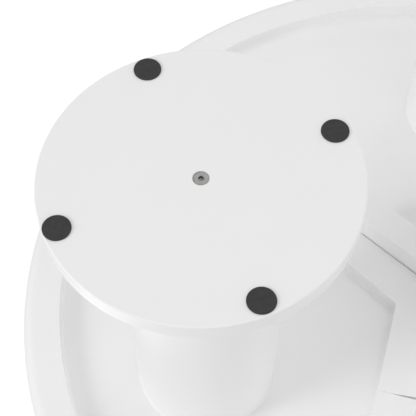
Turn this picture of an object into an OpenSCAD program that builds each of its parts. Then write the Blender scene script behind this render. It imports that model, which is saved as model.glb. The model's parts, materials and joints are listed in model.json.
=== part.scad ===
// Low round table with a turning top, standing on three column legs. Millimetres, +Z up.
// The origin is on the floor, under the middle of the top. Leg 1 stands on the -X side.

/* [Top] */
// Diameter of the turning top
top_d = 820; // [700:5:830]
// Thickness of the turning top
top_t = 20; // [16:1:25]
// Rounding of the turning top's edges
top_round = 7; // [2:0.5:8]

/* [Underframe] */
// Outer diameter of the fixed plate, over its rim ring
plate_d = 840; // [835:1:900]
// Thickness of the deck panel
deck_t = 9; // [9:1:15]
// Width of the rim ring
rim_w = 37; // [30:1:50]
// Thickness of the rim ring, which is the depth of the recess under the deck
rim_t = 17; // [14:1:25]
// Rounding of the rim ring's outer lower edge
rim_round = 12; // [4:1:14]
// Width of one arm of the three-armed brace
arm_w = 82; // [60:1:90]
// Turn of the brace's outer sides about the table's axis, from the lines midway between the legs
brace_turn = 2.5; // [-3:0.5:3]
// Length of V board 1 along an arm
board_reach = 121; // [115:1:135]
// Distance from the line midway between two legs to V board 1
board_gap = 0.2; // [0.2:0.1:2]
// Gap at the inner corner of V board 1's ends
end_gap = 3; // [1:0.5:4]
// How much thinner V board 1 is than the rim ring
board_step = 0.5; // [0.5:0.5:2]
// Length of V boards 2 and 3 along an arm
bearer_reach = 113; // [100:1:120]
// Distance from the line midway between two legs to V boards 2 and 3
bearer_gap = 0.4; // [0.2:0.1:6]
// Distance from the middle of an arm to the outer side of V boards 2 and 3
bearer_edge = 27.5; // [25:0.5:38]
// How far V boards 2 and 3 stand out below the rim ring
bearer_rise = 23.5; // [0:0.5:25]
// Gap between the middle of an arm and the half-width spokes
spoke_gap = 1.5; // [0.5:0.5:4]

/* [Legs] */
// Distance from the table's axis to each column's axis
leg_circle_r = 246.5; // [240:0.5:260]
// Diameter of a column
column_d = 133; // [120:1:150]
// Wall of the column's tube
column_wall = 6; // [4:1:10]
// Height from the foot disc's underside to the rim ring's underside
stand_h = 316; // [280:1:400]
// Diameter of a foot disc
foot_d = 250; // [220:5:260]
// Thickness of a foot disc
foot_t = 16; // [12:1:20]
// Rounding of a foot disc's edges
foot_round = 1.2; // [0.5:0.1:3]
// Diameter of a foot pad
pad_d = 22; // [18:0.5:30]
// Thickness of a foot pad
pad_t = 1.5; // [1:0.5:4]
// Radius of the circle that the four pads of a foot lie on
pad_circle_r = 112.5; // [90:0.5:112.5]
// Shift of two opposite pads along the line between them, as they are glued on by hand
pad_shift = 1.3; // [0:0.1:1.5]
// Turn of the pads about the foot's axis, from the line to the table's axis
pad_turn = -5.5; // [-45:0.5:45]
// Thickness of the plugs in a column's ends
plug_t = 24; // [18:1:40]

/* [Bearing] */
// Outer diameter of the ring bearing
bearing_d = 404; // [360:1:440]
// Height of each race
race_h = 8.4; // [8:0.1:10]
// Width of each race
race_w = 16; // [14:1:22]
// Diameter of a bearing ball
ball_d = 6; // [5:0.5:6]
// Number of bearing balls
ball_count = 36; // [24:4:48]

/* [Hidden] */
leg_numbers = [1, 2, 3];
turn = 360;
leg_step = turn / 3;
leg_1_angle = 180;
arm_1_angle = leg_1_angle + leg_step / 2 + brace_turn;

foot_z = pad_t;
column_z = foot_z + foot_t;
rim_z = foot_z + stand_h;
deck_z = rim_z + rim_t;
bearing_z = deck_z + deck_t;
race_lift = 0.6;
top_z = bearing_z + race_h + race_lift;
total_h = top_z + top_t;

plate_r = plate_d / 2;
rim_inner_r = plate_r - rim_w;
column_r = column_d / 2;
column_h = deck_z - column_z;
glue_line = 0.1;
plug_r = column_r - column_wall - glue_line;
deck_round = 8;

// Countersunk hex-socket machine screw under each foot, and the insert it turns into
foot_screw_d = 6;
foot_screw_head_d = 12.2;
foot_screw_len = 32;
foot_screw_sunk = 0.2;
foot_socket_af = 4;
insert_d = 10;
insert_len = 18;
countersink_d = 12.8;
screw_play = 0.1;

// Wood screws: shank, head and lengths
wood_screw_d = 4;
wood_screw_head_d = 8;
deck_screw_len = 20;
column_screw_len = 28;
column_screw_r = 38;
column_screw_count = 3;
rim_screw_count = 12;
rim_screw_r = plate_r - rim_w / 2;
spoke_screw_r = 330;
screw_edge = 11;
board_screw_along = board_reach * 0.72;
board_screw_across = 16;

// Bearing layout, from the outside in
race_gap = 1.8;
outer_race_r = bearing_d / 2;
outer_race_inner_r = outer_race_r - race_w;
ball_circle_r = outer_race_inner_r - race_gap / 2;
inner_race_r = ball_circle_r - race_gap / 2;
inner_race_inner_r = inner_race_r - race_w;
groove_r = ball_d / 2 + 0.2;
ball_z = bearing_z + (race_h + race_lift) / 2;
cage_t = 1.2;
cage_h = race_h - 0.4;
race_screw_count = 6;
inner_race_screw_r = inner_race_r - race_w / 2 - 1;
outer_race_screw_r = outer_race_r - race_w / 2 + 1;
inner_race_screw_len = 24;
outer_race_screw_len = 16;
access_hole_d = 14;
access_hole_angle = leg_1_angle - leg_step + 33;

eps = 0.01;
$fn = 96;

// ---- Places ----

// The angle of leg k, seen from above
function leg_angle(k) = leg_1_angle - (k - 1) * leg_step;

// The angle of brace arm k, which lies between two legs
function arm_angle(k) = arm_1_angle - (k - 1) * leg_step;

// The two sides of spoke k, measured across its arm: spokes 1 and 2 lie on leg 1's half of their arm
function spoke_low(k) = k == 2 ? spoke_gap : -arm_w / 2;
function spoke_high(k) = k == 1 ? -spoke_gap : arm_w / 2;

// Puts its children on leg k's axis, with their +X pointing away from the table's axis
module at_leg(k) {
    rotate([0, 0, leg_angle(k)])
        translate([leg_circle_r, 0, 0])
            children();
}

// Repeats its children around the Z axis at radius r
module around(count, r, first = 0) {
    for (i = [0:count - 1])
        rotate([0, 0, first + i * turn / count])
            translate([r, 0, 0])
                children();
}

// ---- Shared shapes ----

// A disc or ring on the Z axis whose outer edges are rounded; inner_r is 0 for a disc
module round_edged_ring(outer_r, inner_r, height, round_low, round_high) {
    rotate_extrude()
        union() {
            difference() {
                translate([inner_r, 0])
                    square([outer_r - inner_r, height]);
                translate([outer_r - round_low, -eps])
                    square([round_low + eps, round_low + eps]);
                translate([outer_r - round_high, height - round_high])
                    square([round_high + eps, round_high + eps]);
            }
            rounded_corner(outer_r, round_low, round_low, 0);
            rounded_corner(outer_r, round_high, height - round_high, height - round_high);
        }
}

// The quarter of a circle that fills a cut corner; z_mid is the circle's centre height
module rounded_corner(outer_r, r, z_mid, z_low) {
    if (r > 0)
        intersection() {
            translate([outer_r - r, z_mid])
                circle(r = r, $fn = 64);
            translate([outer_r - r - eps, z_low])
                square([r + 2 * eps, r + eps]);
        }
}

// A countersunk screw pointing up (+Z), with its head's face at z = 0
module countersunk_screw(shank_d, head_d, length, socket_af) {
    head_h = (head_d - shank_d) / 2;
    tip_h = shank_d / 2;
    difference() {
        union() {
            cylinder(d = head_d, h = 0.4);
            translate([0, 0, 0.4])
                cylinder(d1 = head_d, d2 = shank_d, h = head_h);
            translate([0, 0, 0.4 + head_h - eps])
                cylinder(d = shank_d, h = length - head_h - tip_h - 0.4 + eps);
            translate([0, 0, length - tip_h - eps])
                cylinder(d1 = shank_d, d2 = shank_d * 0.4, h = tip_h);
        }
        translate([0, 0, -eps])
            cylinder(d = socket_af / cos(30), h = head_h * 0.8, $fn = 6);
    }
}

// The hole that such a screw lies in: a countersink with its mouth at z = 0, then a bore
module screw_hole(shank_d, head_d, length) {
    bore_d = shank_d + 2 * screw_play;
    sink_d = head_d + 4 * screw_play;
    sink_h = (sink_d - bore_d) / 2 + 0.5;
    translate([0, 0, -eps])
        cylinder(d = bore_d, h = length + 1);
    translate([0, 0, -eps])
        cylinder(d = sink_d, h = 0.5 + 2 * eps);
    translate([0, 0, 0.5])
        cylinder(d1 = sink_d, d2 = bore_d, h = sink_h - 0.5);
}

// A screw driven downwards from the surface at z = 0
module screw_down(length) {
    mirror([0, 0, 1])
        countersunk_screw(wood_screw_d, wood_screw_head_d, length, 2.5);
}

module hole_down(length) {
    mirror([0, 0, 1])
        screw_hole(wood_screw_d, wood_screw_head_d, length);
}

// ---- Where the fasteners are ----

module at_column_screws(k) {
    at_leg(k)
        translate([0, 0, bearing_z])
            around(column_screw_count, column_screw_r, turn / 12)
                children();
}

module at_deck_screws() {
    translate([0, 0, bearing_z]) {
        around(rim_screw_count, rim_screw_r, arm_1_angle)
            children();
        for (k = leg_numbers)
            rotate([0, 0, arm_angle(k)]) {
                translate([spoke_screw_r, (spoke_low(k) + spoke_high(k)) / 2, 0])
                    children();
                for (side = [-1, 1])
                    translate([board_screw_along, side * board_screw_across, 0])
                        children();
            }
    }
}

module at_inner_race_screws() {
    for (k = leg_numbers)
        for (across = [spoke_low(k) + screw_edge, spoke_high(k) - screw_edge])
            rotate([0, 0, arm_angle(k) + asin(across / inner_race_screw_r)])
                translate([inner_race_screw_r, 0, bearing_z + race_h])
                    children();
}

module at_outer_race_screws() {
    translate([0, 0, top_z - race_h])
        around(race_screw_count, outer_race_screw_r, access_hole_angle)
            children();
}

// ---- Legs ----

module foot_pads(k) {
    color([0.16, 0.16, 0.16])
        at_leg(k)
            for (a = [0, 90, 180, 270])
                rotate([0, 0, pad_turn + a])
                    translate([pad_circle_r + pad_shift * cos(a), 0, 0])
                        cylinder(d = pad_d, h = pad_t);
}

module foot_disc(k) {
    color([0.93, 0.93, 0.93])
        at_leg(k)
            translate([0, 0, foot_z])
                difference() {
                    round_edged_ring(foot_d / 2, 0, foot_t, foot_round, foot_round);
                    translate([0, 0, -eps])
                        cylinder(d = foot_screw_d + 0.6, h = foot_t + 1);
                    translate([0, 0, -eps])
                        cylinder(d = countersink_d, h = foot_screw_sunk + 0.8);
                    translate([0, 0, foot_screw_sunk + 0.8 - 2 * eps])
                        cylinder(d1 = countersink_d, d2 = foot_screw_d + 0.6,
                                 h = (countersink_d - foot_screw_d - 0.6) / 2);
                }
}

module foot_screw(k) {
    color([0.58, 0.58, 0.58])
        at_leg(k)
            translate([0, 0, foot_z + foot_screw_sunk])
                countersunk_screw(foot_screw_d, foot_screw_head_d, foot_screw_len, foot_socket_af);
}

module foot_insert(k) {
    color([0.75, 0.68, 0.42])
        at_leg(k)
            translate([0, 0, column_z + 0.5])
                difference() {
                    cylinder(d = insert_d, h = insert_len);
                    translate([0, 0, -1])
                        cylinder(d = foot_screw_d + 2 * screw_play, h = insert_len + 2);
                }
}

module foot_plug(k) {
    color([0.72, 0.6, 0.45])
        at_leg(k)
            translate([0, 0, column_z])
                difference() {
                    cylinder(r = plug_r, h = plug_t);
                    translate([0, 0, -1])
                        cylinder(d = insert_d + 2 * screw_play, h = plug_t + 2);
                }
}

module column(k) {
    color([0.93, 0.93, 0.93])
        at_leg(k)
            translate([0, 0, column_z])
                difference() {
                    cylinder(r = column_r, h = column_h);
                    translate([0, 0, -1])
                        cylinder(r = column_r - column_wall, h = column_h + 2);
                }
}

module head_plug(k) {
    color([0.72, 0.6, 0.45])
        difference() {
            at_leg(k)
                translate([0, 0, deck_z - plug_t])
                    cylinder(r = plug_r, h = plug_t);
            at_column_screws(k)
                hole_down(column_screw_len);
        }
}

module column_screws(k) {
    color([0.6, 0.6, 0.58])
        at_column_screws(k)
            translate([0, 0, -screw_play])
                screw_down(column_screw_len);
}

// ---- Underframe ----

module rim_ring() {
    color([0.93, 0.93, 0.93])
        difference() {
            translate([0, 0, rim_z])
                round_edged_ring(plate_r, rim_inner_r, rim_t, rim_round, 0);
            at_deck_screws()
                hole_down(deck_screw_len);
        }
}

// A point of a V board whose middle line is along +X: along its upper or lower arm (side 1 or -1),
// then across that arm towards the middle line; the arm is turned by an angle
function arm_point(side, along, across, angle = 0) =
    let (a = side * leg_step / 2 + angle)
        along * [cos(a), sin(a)] + side * across * [sin(a), -cos(a)];

// A V board with its point towards the table's axis. Its inner sides lie midway between the legs, and its
// outer sides are turned. Each end is square over a third of its width, and then falls back by end_back.
module brace_board_outline(gap, edge, reach, end_back) {
    corner = 1 / sin(leg_step / 2);
    polygon([
        [gap * corner, 0],
        arm_point(1, reach - end_back, gap),
        arm_point(1, reach, edge * 2 / 3, brace_turn),
        arm_point(1, reach, edge, brace_turn),
        edge * corner * [cos(brace_turn), sin(brace_turn)],
        arm_point(-1, reach, edge, brace_turn),
        arm_point(-1, reach, edge * 2 / 3, brace_turn),
        arm_point(-1, reach - end_back, gap)
    ]);
}

module brace_board(k) {
    long = k == 1;
    low_z = long ? rim_z + board_step : rim_z - bearer_rise;
    color([0.93, 0.93, 0.93])
        difference() {
            rotate([0, 0, leg_angle(k)])
                translate([0, 0, low_z])
                    linear_extrude(height = deck_z - low_z)
                        if (long)
                            brace_board_outline(board_gap, arm_w / 2, board_reach, end_gap);
                        else
                            brace_board_outline(bearer_gap, bearer_edge, bearer_reach, 0);
            at_deck_screws()
                hole_down(deck_screw_len);
        }
}

module brace_spoke(k) {
    color([0.93, 0.93, 0.93])
        difference() {
            intersection() {
                rotate([0, 0, arm_angle(k)])
                    translate([k == 3 ? bearer_reach : board_reach, spoke_low(k), rim_z])
                        cube([rim_inner_r, spoke_high(k) - spoke_low(k), rim_t]);
                translate([0, 0, rim_z])
                    cylinder(r = rim_inner_r - glue_line, h = rim_t);
            }
            at_deck_screws()
                hole_down(deck_screw_len);
            at_inner_race_screws()
                hole_down(inner_race_screw_len);
        }
}

module deck_panel() {
    color([0.93, 0.93, 0.93])
        difference() {
            translate([0, 0, deck_z])
                round_edged_ring(plate_r, 0, deck_t, 0, deck_round);
            at_deck_screws()
                hole_down(deck_screw_len);
            for (k = leg_numbers)
                at_column_screws(k)
                    hole_down(column_screw_len);
            at_inner_race_screws()
                hole_down(inner_race_screw_len);
            rotate([0, 0, access_hole_angle])
                translate([outer_race_screw_r, 0, deck_z - 1])
                    cylinder(d = access_hole_d, h = deck_t + 2);
        }
}

module deck_screws() {
    color([0.6, 0.6, 0.58])
        at_deck_screws()
            translate([0, 0, -screw_play])
                screw_down(deck_screw_len);
}

// ---- Bearing ----

// A race: a flat ring whose wall towards the balls has a round groove
module race(outer_r, inner_r) {
    rotate_extrude()
        difference() {
            translate([inner_r, 0])
                square([outer_r - inner_r, race_h]);
            translate([ball_circle_r, ball_z - bearing_z])
                circle(r = groove_r, $fn = 64);
        }
}

module inner_race() {
    color([0.76, 0.77, 0.78])
        difference() {
            translate([0, 0, bearing_z])
                race(inner_race_r, inner_race_inner_r);
            at_inner_race_screws()
                hole_down(inner_race_screw_len);
        }
}

module inner_race_screws() {
    color([0.6, 0.6, 0.58])
        at_inner_race_screws()
            translate([0, 0, -screw_play])
                screw_down(inner_race_screw_len);
}

module ball_cage() {
    color([0.82, 0.8, 0.72])
        translate([0, 0, ball_z])
            difference() {
                translate([0, 0, -cage_h / 2])
                    difference() {
                        cylinder(r = ball_circle_r + cage_t / 2, h = cage_h);
                        translate([0, 0, -1])
                            cylinder(r = ball_circle_r - cage_t / 2, h = cage_h + 2);
                    }
                around(ball_count, ball_circle_r)
                    rotate([0, 90, 0])
                        cylinder(d = ball_d + 0.4, h = 4, center = true, $fn = 32);
            }
}

module bearing_balls() {
    color([0.7, 0.71, 0.72])
        translate([0, 0, ball_z])
            around(ball_count, ball_circle_r)
                sphere(d = ball_d, $fn = 24);
}

module outer_race() {
    color([0.76, 0.77, 0.78])
        difference() {
            translate([0, 0, top_z])
                mirror([0, 0, 1])
                    race(outer_race_r, outer_race_inner_r);
            at_outer_race_screws()
                screw_hole(wood_screw_d, wood_screw_head_d, outer_race_screw_len);
        }
}

module outer_race_screws() {
    color([0.6, 0.6, 0.58])
        at_outer_race_screws()
            translate([0, 0, screw_play])
                countersunk_screw(wood_screw_d, wood_screw_head_d, outer_race_screw_len, 2.5);
}

// ---- Top ----

module turning_top() {
    color([0.94, 0.94, 0.94])
        difference() {
            translate([0, 0, top_z])
                round_edged_ring(top_d / 2, 0, top_t, top_round, top_round);
            at_outer_race_screws()
                screw_hole(wood_screw_d, wood_screw_head_d, outer_race_screw_len);
        }
}

foot_pads(1);  // foot_pads_1
foot_pads(2);  // foot_pads_2
foot_pads(3);  // foot_pads_3
foot_disc(1);  // foot_disc_1
foot_disc(2);  // foot_disc_2
foot_disc(3);  // foot_disc_3
foot_screw(1);  // foot_screw_1
foot_screw(2);  // foot_screw_2
foot_screw(3);  // foot_screw_3
foot_insert(1);  // foot_insert_1
foot_insert(2);  // foot_insert_2
foot_insert(3);  // foot_insert_3
foot_plug(1);  // foot_plug_1
foot_plug(2);  // foot_plug_2
foot_plug(3);  // foot_plug_3
column(1);  // column_1
column(2);  // column_2
column(3);  // column_3
head_plug(1);  // head_plug_1
head_plug(2);  // head_plug_2
head_plug(3);  // head_plug_3
column_screws(1);  // column_screws_1
column_screws(2);  // column_screws_2
column_screws(3);  // column_screws_3
rim_ring();
brace_board(1);  // brace_board_1
brace_board(2);  // brace_board_2
brace_board(3);  // brace_board_3
brace_spoke(1);  // brace_spoke_1
brace_spoke(2);  // brace_spoke_2
brace_spoke(3);  // brace_spoke_3
deck_panel();
deck_screws();
inner_race();
inner_race_screws();
ball_cage();
bearing_balls();
outer_race();
outer_race_screws();
turning_top();
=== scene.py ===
"""Looks for the low round table: materials, finer boards and hardware, and a white studio."""

import json
import math

import bmesh
import bpy
from mathutils import Matrix, Vector


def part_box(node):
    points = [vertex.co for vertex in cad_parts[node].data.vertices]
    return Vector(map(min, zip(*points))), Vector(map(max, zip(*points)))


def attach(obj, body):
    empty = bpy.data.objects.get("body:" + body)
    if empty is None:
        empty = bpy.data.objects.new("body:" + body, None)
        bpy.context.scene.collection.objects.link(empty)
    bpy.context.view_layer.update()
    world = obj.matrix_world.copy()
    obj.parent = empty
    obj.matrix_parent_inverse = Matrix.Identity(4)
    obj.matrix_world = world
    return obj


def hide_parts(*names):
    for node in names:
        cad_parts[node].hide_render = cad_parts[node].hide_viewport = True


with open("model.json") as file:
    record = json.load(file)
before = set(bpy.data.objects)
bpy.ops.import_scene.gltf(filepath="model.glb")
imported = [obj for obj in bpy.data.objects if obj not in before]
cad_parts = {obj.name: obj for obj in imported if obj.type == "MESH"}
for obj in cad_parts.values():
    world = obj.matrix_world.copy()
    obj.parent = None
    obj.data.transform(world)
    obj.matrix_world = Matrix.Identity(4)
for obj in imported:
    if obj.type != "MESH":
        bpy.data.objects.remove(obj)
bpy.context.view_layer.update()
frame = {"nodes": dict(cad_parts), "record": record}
nodes = frame["nodes"]
LEGS = (1, 2, 3)
MM = 0.001

# ---------------------------------------------------------------- places, all from the frame

disc_low, disc_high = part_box("foot_disc_1")
rim_low, rim_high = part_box("rim_ring")
column_low, column_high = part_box("column_1")
top_low, top_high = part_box("turning_top")

FLOOR_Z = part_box("foot_pads_1")[0].z
FOOT_FACE_Z = disc_low.z
FOOT_TOP_Z = disc_high.z
RIM_Z = rim_low.z
DECK_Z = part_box("deck_panel")[0].z
LEG_RADIUS = -(column_low.x + column_high.x) / 2
COLUMN_RADIUS = (column_high.y - column_low.y) / 2
FOOT_RADIUS = (disc_high.y - disc_low.y) / 2
PLATE_RADIUS = rim_high.x

# Sizes of the CAD parts that the boxes don't tell
RIM_WIDTH = 37 * MM
RIM_ROUND = 12 * MM
TOP_ROUND = 7 * MM
FOOT_ROUND = 1.2 * MM
COLUMN_WALL = 6 * MM
FOOT_HOLE = 6.6 * MM
FOOT_COUNTERSINK = 12.8 * MM
FOOT_CONE_START = 1.0 * MM

# The two kinds of screw: diameters of shank and head, socket across its flats, and pitch of the thread
FOOT_SCREW = {"shank": 6 * MM, "head": 12.2 * MM, "socket": 4 * MM, "pitch": 1.0 * MM}
WOOD_SCREW = {"shank": 4 * MM, "head": 8 * MM, "socket": 2.5 * MM, "pitch": 1.8 * MM}

# Details that only the finer pieces have: eased edges, and fillets of lacquer in the inner corners
EASED = 0.8 * MM
BOARD_CORNER = 1.2 * MM
HOLE_LIP = 0.25 * MM
PAD_EDGE = 0.7 * MM
PAD_BACK_EDGE = 0.2 * MM
PAD_CROWN = 0.12 * MM
COLUMN_FILLET = 1.1 * MM
RIM_FILLET = 3 * MM
BOARD_FILLET = 2 * MM

# Edges that turn by more than this many degrees are shaded sharp
SHARP_BOARD = 60
SHARP_SCREW = 35

# Segments round each lathed piece
ROUND_DISC = 256
ROUND_PAD = 64
ROUND_COLUMN = 192
ROUND_PLATE = 512
ROUND_SCREW = 48


def leg_centre(leg):
    """A point on a leg's axis, at z = 0."""
    low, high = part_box(f"column_{leg}")
    return Vector(((low.x + high.x) / 2, (low.y + high.y) / 2, 0))


# ---------------------------------------------------------------- node helpers

# A Mix node has a set of sockets for each data type; these are the colour ones
MIX_COLOUR_A = 6
MIX_COLOUR_B = 7
MIX_COLOUR_RESULT = 2


def new_material(name):
    """A material with a fresh Principled shader; returns (material, its node tree, the shader)."""
    material = bpy.data.materials.new(name)
    material.use_nodes = True
    tree = material.node_tree
    return material, tree, tree.nodes["Principled BSDF"]


def add_node(tree, kind, **values):
    """Adds a node; each value is an attribute of the node, or the name of an input socket."""
    node = tree.nodes.new(kind)
    for key, value in values.items():
        if hasattr(node, key):
            setattr(node, key, value)
        else:
            node.inputs[key.replace("_", " ")].default_value = value
    return node


def coordinates(tree):
    """Coordinates in metres, fixed to the piece."""
    return add_node(tree, "ShaderNodeTexCoord").outputs["Object"]


def noise(tree, scale, detail=2.0, roughness=0.5, stretch=None):
    """Noise of so many waves per metre; stretch squeezes it along an axis."""
    node = add_node(tree, "ShaderNodeTexNoise", Scale=scale, Detail=detail, Roughness=roughness)
    place = coordinates(tree)
    if stretch:
        mapping = add_node(tree, "ShaderNodeMapping", Scale=stretch)
        tree.links.new(place, mapping.inputs["Vector"])
        place = mapping.outputs["Vector"]
    tree.links.new(place, node.inputs["Vector"])
    return node.outputs["Fac"]


def ramp(tree, factor, stops):
    """A colour ramp over factor; stops are (place, grey or colour)."""
    node = add_node(tree, "ShaderNodeValToRGB")
    elements = node.color_ramp.elements
    while len(elements) < len(stops):
        elements.new(0.5)
    for element, (place, colour) in zip(elements, stops):
        element.position = place
        grey = not hasattr(colour, "__len__")
        element.color = (colour, colour, colour, 1) if grey else (*colour, 1)
    tree.links.new(factor, node.inputs["Fac"])
    return node.outputs["Color"]


def multiply(tree, first, second):
    """The product of two colours."""
    node = add_node(tree, "ShaderNodeMix", data_type="RGBA", blend_type="MULTIPLY")
    node.inputs["Factor"].default_value = 1.0
    tree.links.new(first, node.inputs[MIX_COLOUR_A])
    tree.links.new(second, node.inputs[MIX_COLOUR_B])
    return node.outputs[MIX_COLOUR_RESULT]


def bump(tree, shader, height, strength, distance, under=None):
    """Adds a bump from a height; under is another bump that it lies on."""
    node = add_node(tree, "ShaderNodeBump", Strength=strength, Distance=distance)
    tree.links.new(height, node.inputs["Height"])
    if under:
        tree.links.new(under.outputs["Normal"], node.inputs["Normal"])
    tree.links.new(node.outputs["Normal"], shader.inputs["Normal"])
    return node


# ---------------------------------------------------------------- materials


def lacquer(name, tone, roughness, peel=0.12):
    """Sprayed satin lacquer: orange peel over a faintly wavy ground, in a barely uneven white."""
    material, tree, shader = new_material(name)
    shader.inputs["IOR"].default_value = 1.47
    clouds = ramp(tree, noise(tree, 4.0, 3.0), [(0.3, tone * 0.985), (0.7, tone)])
    specks = ramp(tree, noise(tree, 1400, 1.0), [(0.16, (0.9, 0.89, 0.87)), (0.24, (1.0, 1.0, 1.0))])
    tree.links.new(multiply(tree, clouds, specks), shader.inputs["Base Color"])
    gloss = ramp(tree, noise(tree, 26, 4.0), [(0.3, roughness - 0.05), (0.7, roughness + 0.05)])
    tree.links.new(gloss, shader.inputs["Roughness"])
    ground = bump(tree, shader, noise(tree, 60, 2.0), 0.15, 0.0006)
    bump(tree, shader, noise(tree, 750, 3.0, 0.55), peel, 0.0004, ground)
    return material


def rubber(name):
    """Dense rubber: dark grey, matt and finely pitted, with painted shade that darkens the pits, and dust in
    random patches.
    """
    material, tree, shader = new_material(name)
    shader.inputs["Specular IOR Level"].default_value = 0.35
    pits = noise(tree, 2600, 4.0, 0.6)
    dust = ramp(tree, noise(tree, 240, 3.0), [(0.35, 0.82), (0.7, 1.0)])
    # Painted shade: the colour is darker in the pits, because the same noise that sets the bump sets it
    shade = ramp(tree, pits, [(0.28, 0.034), (0.5, 0.048), (0.75, 0.066)])
    tree.links.new(multiply(tree, shade, dust), shader.inputs["Base Color"])
    tree.links.new(ramp(tree, pits, [(0.3, 0.9), (0.7, 0.72)]), shader.inputs["Roughness"])
    bump(tree, shader, pits, 0.4, 0.0004)
    return material


def metal(name, colour, roughness, grain=700, scratches=(1, 1, 1), tarnish=0.86):
    """Plated or bare metal: an uneven film, fine scratches along one way, and dull patches."""
    material, tree, shader = new_material(name)
    shader.inputs["Metallic"].default_value = 1.0
    dull = [c * tarnish for c in colour]
    film = ramp(tree, noise(tree, grain * 0.3, 3.0), [(0.3, dull), (0.7, colour)])
    grit = ramp(tree, noise(tree, grain * 3, 2.0), [(0.25, 0.9), (0.6, 1.0)])
    tree.links.new(multiply(tree, film, grit), shader.inputs["Base Color"])
    lines = noise(tree, grain * 2, 3.0, 0.6, scratches)
    tree.links.new(
        ramp(tree, lines, [(0.3, roughness - 0.07), (0.7, roughness + 0.1)]), shader.inputs["Roughness"]
    )
    bump(tree, shader, lines, 0.12, 0.0002)
    return material


def fibreboard(name):
    """Bare fibreboard: tan, matt, with short fibres and darker flecks."""
    material, tree, shader = new_material(name)
    fibres = noise(tree, 1200, 6.0, 0.7, (1, 1, 3))
    ground = ramp(tree, fibres, [(0.3, (0.42, 0.31, 0.2)), (0.7, (0.56, 0.43, 0.29))])
    flecks = ramp(tree, noise(tree, 420, 3.0), [(0.3, (0.82, 0.8, 0.78)), (0.45, (1, 1, 1))])
    tree.links.new(multiply(tree, ground, flecks), shader.inputs["Base Color"])
    tree.links.new(ramp(tree, fibres, [(0.3, 0.95), (0.7, 0.8)]), shader.inputs["Roughness"])
    bump(tree, shader, fibres, 0.35, 0.0005)
    return material


def nylon(name):
    """Natural moulded nylon: ivory, waxy, slightly cloudy."""
    material, tree, shader = new_material(name)
    shader.inputs["Subsurface Weight"].default_value = 0.15
    shader.inputs["Subsurface Radius"].default_value = (0.002, 0.0015, 0.001)
    shade = ramp(tree, noise(tree, 120, 3.0), [(0.3, (0.6, 0.58, 0.5)), (0.7, (0.68, 0.66, 0.58))])
    tree.links.new(shade, shader.inputs["Base Color"])
    tree.links.new(ramp(tree, noise(tree, 300), [(0.3, 0.4), (0.7, 0.5)]), shader.inputs["Roughness"])
    bump(tree, shader, noise(tree, 900, 3.0), 0.12, 0.0003)
    return material


MATERIALS = {
    "white_lacquer": lacquer("white_lacquer", 0.91, 0.45),
    "top_lacquer": lacquer("top_lacquer", 0.91, 0.38, 0.08),
    "raw_board": fibreboard("raw_board"),
    "pad_rubber": rubber("pad_rubber"),
    "zinc_steel": metal("zinc_steel", (0.4, 0.4, 0.39), 0.42, 900, (1, 12, 1)),
    "brass_insert": metal("brass_insert", (0.78, 0.6, 0.3), 0.35),
    "race_aluminium": metal("race_aluminium", (0.8, 0.81, 0.82), 0.33, 500, (1, 1, 9)),
    "cage_nylon": nylon("cage_nylon"),
    "ball_steel": metal("ball_steel", (0.74, 0.74, 0.76), 0.15, 900, (1, 1, 1), 0.95),
}

slots = {row["node"]: row["material_slot"] for row in frame["record"]["subparts"]}
bodies = {
    name: body for body, names in frame["record"]["behaviour"]["bodies"].items() for name in names
}
for node_name, thing in nodes.items():
    thing.data.materials.clear()
    thing.data.materials.append(MATERIALS[slots[node_name]])


# ---------------------------------------------------------------- mesh helpers

ON_AXIS = 1e-6
AXIS = Vector((0, 0))


def arc(centre_r, centre_z, radius, start, end, steps):
    """Points of a profile (r, z) along a circle, from angle start to end in degrees."""
    points = []
    for i in range(steps + 1):
        angle = math.radians(start + (end - start) * i / steps)
        points.append((centre_r + radius * math.cos(angle), centre_z + radius * math.sin(angle)))
    return points


def finish_piece(name, bm, node, sharp=SHARP_BOARD, weighted=True):
    """Turns bm into a smooth shaded piece that stands for a CAD node and has its material, slot and body."""
    bmesh.ops.recalc_face_normals(bm, faces=bm.faces)
    for face in bm.faces:
        face.smooth = True
    mesh = bpy.data.meshes.new(name)
    bm.to_mesh(mesh)
    bm.free()
    mesh.set_sharp_from_angle(angle=math.radians(sharp))
    mesh.materials.append(MATERIALS[slots[node]])
    piece = bpy.data.objects.new(name, mesh)
    bpy.context.scene.collection.objects.link(piece)
    if weighted:
        normals = piece.modifiers.new("flat_faces", "WEIGHTED_NORMAL")
        normals.weight = 100
        normals.keep_sharp = True
    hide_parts(node)
    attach(piece, bodies[node])
    return piece


def lathe(bm, profile, centre, steps):
    """Revolves a profile of (r, z) points about a vertical line.

    A profile that starts at r = 0 has single vertices on the axis; any other profile is closed.
    """
    rings = []
    for r, z in profile:
        if r < ON_AXIS:
            rings.append([bm.verts.new((centre.x, centre.y, z))])
            continue
        ring = []
        for i in range(steps):
            angle = 2 * math.pi * i / steps
            x = centre.x + r * math.cos(angle)
            y = centre.y + r * math.sin(angle)
            ring.append(bm.verts.new((x, y, z)))
        rings.append(ring)
    join_rings(bm, rings, closed=profile[0][0] > ON_AXIS)


def join_rings(bm, rings, closed=False):
    """Quads between each ring and the next; a ring of one vertex makes a fan."""
    pairs = list(zip(rings, rings[1:]))
    if closed:
        pairs.append((rings[-1], rings[0]))
    for a, b in pairs:
        count = max(len(a), len(b))
        for i in range(count):
            j = (i + 1) % count
            corners = [a[i % len(a)], a[j % len(a)], b[j % len(b)], b[i % len(b)]]
            face = []
            for corner in corners:
                if corner not in face:
                    face.append(corner)
            if len(face) > 2:
                bm.faces.new(face)


# ---------------------------------------------------------------- legs


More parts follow.
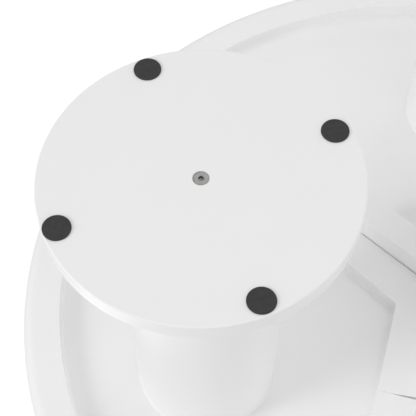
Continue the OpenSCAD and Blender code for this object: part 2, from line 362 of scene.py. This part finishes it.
def foot_disc(leg):
    """A disc with eased edges and a countersunk hole whose mouth is slightly rounded by the lacquer.

    Here and in the other lathed pieces, extra points on the flat stretches keep the shading even.
    """
    low = FOOT_FACE_Z
    high = FOOT_TOP_Z
    mouth = FOOT_COUNTERSINK / 2
    bore = FOOT_HOLE / 2
    cone_z = low + FOOT_CONE_START
    edge = FOOT_RADIUS - FOOT_ROUND
    near_edge = FOOT_RADIUS - 20 * MM
    profile = [(bore, high), (30 * MM, high), (COLUMN_RADIUS, high), (near_edge, high)]
    profile += arc(edge, high - FOOT_ROUND, FOOT_ROUND, 90, 0, 6)
    profile += arc(edge, low + FOOT_ROUND, FOOT_ROUND, 0, -90, 6)
    profile += [(near_edge, low), (60 * MM, low), (20 * MM, low)]
    profile += arc(mouth + HOLE_LIP, low + HOLE_LIP, HOLE_LIP, -90, -180, 4)
    profile += [(mouth, cone_z), (bore, cone_z + mouth - bore)]
    bm = bmesh.new()
    lathe(bm, profile, leg_centre(leg), ROUND_DISC)
    finish_piece(f"foot_board_{leg}", bm, f"foot_disc_{leg}")


def foot_pads(leg):
    """Four pads with soft edges and a very slightly crowned face, where the CAD's four pads are."""
    low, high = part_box(f"foot_pads_{leg}")
    bm = bmesh.new()
    for centre, radius in loose_parts(f"foot_pads_{leg}"):
        profile = [(0, high.z), (radius - PAD_BACK_EDGE, high.z), (radius, high.z - PAD_BACK_EDGE)]
        profile += arc(radius - PAD_EDGE, low.z + PAD_EDGE + PAD_CROWN, PAD_EDGE, 0, -90, 5)
        profile += [(radius * 0.6, low.z + PAD_CROWN * 0.4), (radius * 0.3, low.z), (0, low.z)]
        lathe(bm, profile, centre, ROUND_PAD)
    finish_piece(f"rubber_pads_{leg}", bm, f"foot_pads_{leg}")


def loose_parts(node):
    """The (centre, radius) of each separate solid in a CAD node, seen from above."""
    mesh = nodes[node].data
    parent = list(range(len(mesh.vertices)))

    def root(i):
        while parent[i] != i:
            parent[i] = parent[parent[i]]
            i = parent[i]
        return i

    # Vertices in one place belong together, and so do the two ends of an edge
    same_place = {}
    for vertex in mesh.vertices:
        key = tuple(round(value, 6) for value in vertex.co)
        if key in same_place:
            parent[root(vertex.index)] = root(same_place[key])
        else:
            same_place[key] = vertex.index
    for edge in mesh.edges:
        parent[root(edge.vertices[0])] = root(edge.vertices[1])
    groups = {}
    for vertex in mesh.vertices:
        groups.setdefault(root(vertex.index), []).append(vertex.co)
    parts = []
    for points in groups.values():
        xs = [p.x for p in points]
        ys = [p.y for p in points]
        centre = Vector(((min(xs) + max(xs)) / 2, (min(ys) + max(ys)) / 2, 0))
        parts.append((centre, (max(xs) - min(xs)) / 2))
    return sorted(parts, key=lambda part: (round(part[0].x, 5), round(part[0].y, 5)))


def hexagon_radius(flats, angle):
    """Distance from the middle of a hexagon to its side, at an angle; flats is its width across flats."""
    step = math.pi / 3
    return flats / 2 / math.cos((angle + step / 2) % step - step / 2)


def add_screw(bm, centre, head_z, up, length, shank, head, socket, pitch):
    """A countersunk screw with a chamfered hex socket and a rolled thread.

    head_z is the height of its face, and up is 1 if its tip is above that face and -1 if it is below.
    """
    cone_depth = (head - shank) / 2
    head_edge = 0.4 * MM
    socket_depth = cone_depth * 0.8 + 0.4 * MM
    socket_corner = socket / math.cos(math.pi / 6) / 2
    core = shank / 2 - 0.05 * MM
    thread_start = head_edge + cone_depth + 1.5 * MM
    thread_depth = 0.16 * shank
    thread_end = length - shank * 0.6
    slices_per_turn = 6
    rings = []

    def ring(radius_at, depth):
        """Adds a ring at a depth below the face; radius_at gives its radius at an angle."""
        points = []
        for i in range(ROUND_SCREW):
            angle = 2 * math.pi * i / ROUND_SCREW
            r = radius_at(angle)
            x = centre.x + r * math.cos(angle)
            y = centre.y + r * math.sin(angle)
            points.append(bm.verts.new((x, y, head_z + up * depth)))
        rings.append(points)

    def thread_radius(angle, turn, fade):
        """The radius of the thread at an angle; fade lets it start shallow."""
        return shank / 2 - thread_depth * fade * abs(2 * ((turn - angle / (2 * math.pi)) % 1.0) - 1)

    # The socket, from its floor to its chamfered mouth
    ring(lambda a: 0.02 * MM, socket_depth + 0.35 * MM)
    ring(lambda a: hexagon_radius(socket, a) * 0.97, socket_depth)
    ring(lambda a: hexagon_radius(socket, a), socket_depth - 0.05 * MM)
    ring(lambda a: hexagon_radius(socket, a), 0.28 * MM)
    ring(lambda a: socket_corner + 0.12 * MM, 0.03 * MM)
    ring(lambda a: socket_corner + 0.25 * MM, 0.0)
    # The face, the rounded edge of the head, its cone and the smooth neck
    ring(lambda a: head / 2 - 0.3 * MM, 0.0)
    ring(lambda a: head / 2 - 0.08 * MM, 0.06 * MM)
    ring(lambda a: head / 2, 0.2 * MM)
    ring(lambda a: head / 2, head_edge)
    ring(lambda a: shank / 2 + 0.1 * MM, head_edge + cone_depth)
    ring(lambda a: core, thread_start)
    # The thread and the tip
    depth = thread_start
    while depth < thread_end:
        turn = depth / pitch
        fade = min(1.0, (depth - thread_start) / (2 * pitch))
        ring(lambda a: thread_radius(a, turn, fade), depth)
        depth += pitch / slices_per_turn
    ring(lambda a: shank / 2 - thread_depth, thread_end)
    ring(lambda a: shank * 0.2, length)
    join_rings(bm, rings)
    bm.faces.new(rings[0])
    bm.faces.new(rings[-1])


def foot_screw(leg):
    """The screw in a foot's countersunk hole, with its face down."""
    node = f"foot_screw_{leg}"
    low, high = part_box(node)
    bm = bmesh.new()
    add_screw(bm, leg_centre(leg), low.z, 1, high.z - low.z, **FOOT_SCREW)
    finish_piece(f"socket_screw_{leg}", bm, node, sharp=SHARP_SCREW, weighted=False)


def wood_screws(node, piece_name):
    """The same kind of screw, driven down, at each place where the CAD node has one."""
    low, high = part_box(node)
    bm = bmesh.new()
    for centre, _ in loose_parts(node):
        add_screw(bm, centre, high.z, -1, high.z - low.z, **WOOD_SCREW)
    finish_piece(piece_name, bm, node, sharp=SHARP_SCREW, weighted=False)


def column(leg):
    """A tube whose lacquer runs into the foot and the deck in a small fillet."""
    low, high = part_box(f"column_{leg}")
    r = COLUMN_RADIUS
    inner = r - COLUMN_WALL
    foot = r + COLUMN_FILLET
    profile = [(inner, high.z), (foot, high.z)]
    profile += arc(foot, high.z - COLUMN_FILLET, COLUMN_FILLET, 90, 180, 5)
    profile += [(r, high.z - 60 * MM), (r, (low.z + high.z) / 2), (r, low.z + 60 * MM)]
    profile += arc(foot, low.z + COLUMN_FILLET, COLUMN_FILLET, 180, 270, 5)
    profile += [(inner, low.z)]
    bm = bmesh.new()
    lathe(bm, profile, leg_centre(leg), ROUND_COLUMN)
    bmesh.ops.remove_doubles(bm, verts=bm.verts, dist=1e-7)
    finish_piece(f"tube_{leg}", bm, f"column_{leg}")


# ---------------------------------------------------------------- underframe and top


def rim_ring():
    """The rim: a big rounding outside, an eased inner edge, and a fillet of lacquer along the deck."""
    outer = PLATE_RADIUS
    inner = PLATE_RADIUS - RIM_WIDTH
    profile = [(outer, DECK_Z)]
    profile += arc(outer - RIM_ROUND, RIM_Z + RIM_ROUND, RIM_ROUND, 0, -90, 16)
    profile += [(inner + 14 * MM, RIM_Z)]
    profile += arc(inner + EASED, RIM_Z + EASED, EASED, -90, -180, 4)
    profile += arc(inner - RIM_FILLET, DECK_Z - RIM_FILLET, RIM_FILLET, 0, 90, 8)
    profile += [(inner + 5 * MM, DECK_Z)]
    bm = bmesh.new()
    lathe(bm, profile, AXIS, ROUND_PLATE)
    finish_piece("rim", bm, "rim_ring")


def turning_top():
    """The turning top: one smooth disc with rounded edges."""
    low = top_low.z
    high = top_high.z
    r = top_high.x
    profile = [(0, low), (60 * MM, low), (200 * MM, low), (r - 40 * MM, low)]
    profile += arc(r - TOP_ROUND, low + TOP_ROUND, TOP_ROUND, -90, 0, 12)
    profile += arc(r - TOP_ROUND, high - TOP_ROUND, TOP_ROUND, 0, 90, 12)
    profile += [(r - 40 * MM, high), (200 * MM, high), (60 * MM, high), (0, high)]
    bm = bmesh.new()
    lathe(bm, profile, AXIS, ROUND_PLATE)
    finish_piece("top_board", bm, "turning_top")


def board_outline(node):
    """The outline of a CAD board's lowest face, as points in order, and its lowest and highest z."""
    low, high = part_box(node)
    bm = bmesh.new()
    bm.from_mesh(nodes[node].data)
    bmesh.ops.remove_doubles(bm, verts=bm.verts, dist=1e-6)
    bmesh.ops.dissolve_limit(bm, angle_limit=math.radians(1), verts=bm.verts, edges=bm.edges)
    level = 0.01 * MM
    flat = [f for f in bm.faces if all(abs(v.co.z - low.z) < level for v in f.verts)]
    face = max(flat, key=lambda f: f.calc_area())
    points = [Vector((v.co.x, v.co.y)) for v in face.verts]
    bm.free()
    twice_area = sum(a.cross(b) for a, b in zip(points, points[1:] + points[:1]))
    if twice_area < 0:
        points.reverse()
    return points, low.z, high.z


def soften_corners(points, radius, steps=5):
    """The outline with each sharp corner drawn as a small curve.

    A hollow corner gets a wider curve, so that the outline can still be spread by the fillet.
    """
    smallest_turn = math.radians(15)
    soft = []
    for i, corner in enumerate(points):
        back = points[i - 1] - corner
        on = points[(i + 1) % len(points)] - corner
        turn = math.pi - back.angle(on)
        if turn < smallest_turn:
            soft.append(corner)
            continue
        hollow = back.cross(on) > 0
        bend = radius + BOARD_FILLET * 1.5 if hollow else radius
        cut = min(bend * math.tan(turn / 2), back.length / 3, on.length / 3)
        start = corner + back.normalized() * cut
        end = corner + on.normalized() * cut
        for k in range(steps + 1):
            t = k / steps
            soft.append(start * (1 - t) ** 2 + corner * 2 * t * (1 - t) + end * t ** 2)
    return soft


def spread(points, distance):
    """The outline moved outwards by a distance, or inwards if it is negative."""
    longest_mitre = 4
    moved = []
    for i, point in enumerate(points):
        back = (point - points[i - 1]).normalized()
        on = (points[(i + 1) % len(points)] - point).normalized()
        mitre = Vector((back.y + on.y, -back.x - on.x))
        mitre = mitre / max(1 / longest_mitre, mitre.length_squared / 2)
        moved.append(point + mitre * distance)
    return moved


def eased_board(node, piece_name):
    """A board with eased edges and corners, which runs into the deck in a fillet of lacquer."""
    points, low, high = board_outline(node)
    points = soften_corners(points, BOARD_CORNER)
    levels = [(-inset, z) for inset, z in arc(EASED, low + EASED, EASED, -90, -180, 4)]
    fillet = arc(0, high - BOARD_FILLET, BOARD_FILLET, 0, 90, 6)
    levels += [(BOARD_FILLET - r, z) for r, z in fillet]
    bm = bmesh.new()
    rings = []
    for offset, z in levels:
        rings.append([bm.verts.new((x, y, z)) for x, y in spread(points, offset)])
    join_rings(bm, rings)
    bm.faces.new(rings[0])
    bm.faces.new(rings[-1])
    finish_piece(piece_name, bm, node)


for leg_number in LEGS:
    foot_disc(leg_number)
    foot_pads(leg_number)
    foot_screw(leg_number)
    column(leg_number)
    eased_board(f"brace_board_{leg_number}", f"v_board_{leg_number}")
    eased_board(f"brace_spoke_{leg_number}", f"spoke_{leg_number}")
    wood_screws(f"column_screws_{leg_number}", f"plug_screws_{leg_number}")
rim_ring()
turning_top()
wood_screws("deck_screws", "board_screws")


# ---------------------------------------------------------------- studio

# The bench frame: the table as it lies upside down on a bench, x to the camera's right, y away from it,
# z up from the bench to the feet, measured from the outer face of foot disc 1.
BENCH_TURN = math.radians(15.87)
BENCH = (
    Matrix.Translation((-LEG_RADIUS, 0, FOOT_FACE_Z))
    @ Matrix.Rotation(BENCH_TURN, 4, "Z")
    @ Matrix.Rotation(math.pi, 4, "X")
)

# In the bench frame: the point that the softboxes face, and the camera
MIDDLE = Vector((0.12, 0.0, -0.2))
CAMERA_AT = (0.00481, -0.4916, 0.73427)
CAMERA_ELEVATION = math.radians(57.66)
CAMERA_ROLL = math.radians(-1.22)
CAMERA_LENS = 102.1
CAMERA_SENSOR = 36.0

SOFTBOX_SIZE = 1.0
SOFTBOX_DISTANCE = 2.6
BACKGROUND = 1.05
DOME = 0.546
FLOOR_HALF_WIDTH = 30.0
FLOOR_GREY = (0.86, 0.86, 0.86, 1)
WHITE = (1, 1, 1, 1)


def make_camera():
    """The camera at the angle from which the table shows its foot, rim and recess."""
    data = bpy.data.cameras.new("camera")
    data.lens = CAMERA_LENS
    data.sensor_width = CAMERA_SENSOR
    camera = bpy.data.objects.new("camera", data)
    bpy.context.scene.collection.objects.link(camera)
    tilt = Matrix.Rotation(math.pi / 2 - CAMERA_ELEVATION, 4, "X")
    roll = Matrix.Rotation(CAMERA_ROLL, 4, "Z")
    camera.matrix_world = BENCH @ Matrix.Translation(CAMERA_AT) @ tilt @ roll
    bpy.context.scene.camera = camera


def softbox(name, azimuth, elevation, power):
    """A round area light that faces the table from a bench direction; the camera doesn't see it."""
    data = bpy.data.lights.new(name, "AREA")
    data.shape = "DISK"
    data.size = SOFTBOX_SIZE
    data.energy = power
    light = bpy.data.objects.new(name, data)
    bpy.context.scene.collection.objects.link(light)
    a = math.radians(azimuth)
    e = math.radians(elevation)
    toward = Vector((math.cos(e) * math.cos(a), math.cos(e) * math.sin(a), math.sin(e)))
    light.location = BENCH @ (MIDDLE + SOFTBOX_DISTANCE * toward)
    light.rotation_mode = "QUATERNION"
    light.rotation_quaternion = (BENCH @ MIDDLE - light.location).to_track_quat("-Z", "Y")
    light.visible_camera = False


def make_world():
    """A white studio: the camera sees pure white, and the light from all round is softer."""
    world = bpy.data.worlds.new("studio")
    bpy.context.scene.world = world
    world.use_nodes = True
    tree = world.node_tree
    tree.nodes.clear()
    seen = add_node(tree, "ShaderNodeBackground", Color=WHITE, Strength=BACKGROUND)
    lit = add_node(tree, "ShaderNodeBackground", Color=WHITE, Strength=DOME)
    path = add_node(tree, "ShaderNodeLightPath")
    mix = add_node(tree, "ShaderNodeMixShader")
    out = add_node(tree, "ShaderNodeOutputWorld")
    tree.links.new(path.outputs["Is Camera Ray"], mix.inputs[0])
    tree.links.new(lit.outputs[0], mix.inputs[1])
    tree.links.new(seen.outputs[0], mix.inputs[2])
    tree.links.new(mix.outputs[0], out.inputs["Surface"])


def make_floor():
    """A pale floor that shows from above only, and neither shades the table nor throws light on it."""
    mesh = bpy.data.meshes.new("studio_floor")
    half = FLOOR_HALF_WIDTH
    z = FLOOR_Z - 0.5 * MM
    corners = [(-half, -half, z), (half, -half, z), (half, half, z), (-half, half, z)]
    mesh.from_pydata(corners, [], [(0, 1, 2, 3)])
    floor = bpy.data.objects.new("studio_floor", mesh)
    bpy.context.scene.collection.objects.link(floor)
    material, tree, shader = new_material("studio_floor")
    shader.inputs["Base Color"].default_value = FLOOR_GREY
    shader.inputs["Roughness"].default_value = 0.8
    facing = add_node(tree, "ShaderNodeNewGeometry")
    clear = add_node(tree, "ShaderNodeBsdfTransparent")
    mix = add_node(tree, "ShaderNodeMixShader")
    out = tree.nodes["Material Output"]
    tree.links.new(facing.outputs["Backfacing"], mix.inputs[0])
    tree.links.new(shader.outputs[0], mix.inputs[1])
    tree.links.new(clear.outputs[0], mix.inputs[2])
    tree.links.new(mix.outputs[0], out.inputs["Surface"])
    mesh.materials.append(material)
    floor.visible_shadow = False
    floor.visible_diffuse = False
    floor.visible_glossy = False


# The softboxes: bench azimuth and elevation in degrees, and power in watts
SOFTBOXES = {
    "key": (200, 30, 11.25),
    "key_low": (200, 22, 9.0),
    "key_lowest": (200, 14, 1.9),
    "far_right_low": (60, 8, 9.1),
    "right_low": (0, 8, 5.8),
    "near_right_low": (330, 8, 5.6),
    "near_left_low": (270, 8, 5.6),
    "near": (300, 54, 3.9),
    "far": (90, 54, 2.4),
    "right_high": (30, 70, 1.7),
    "far_right_high": (60, 62, 2.8),
    "left_high": (150, 70, 1.4),
    "left_low": (150, 8, 1.2),
    "far_left": (120, 54, 0.7),
    "right": (30, 26, 1.3),
    "overhead": (200, -50, 8.0),
}

make_camera()
make_world()
make_floor()
for light_name, light_values in SOFTBOXES.items():
    softbox(light_name, *light_values)
bpy.context.scene.view_settings.view_transform = "Standard"
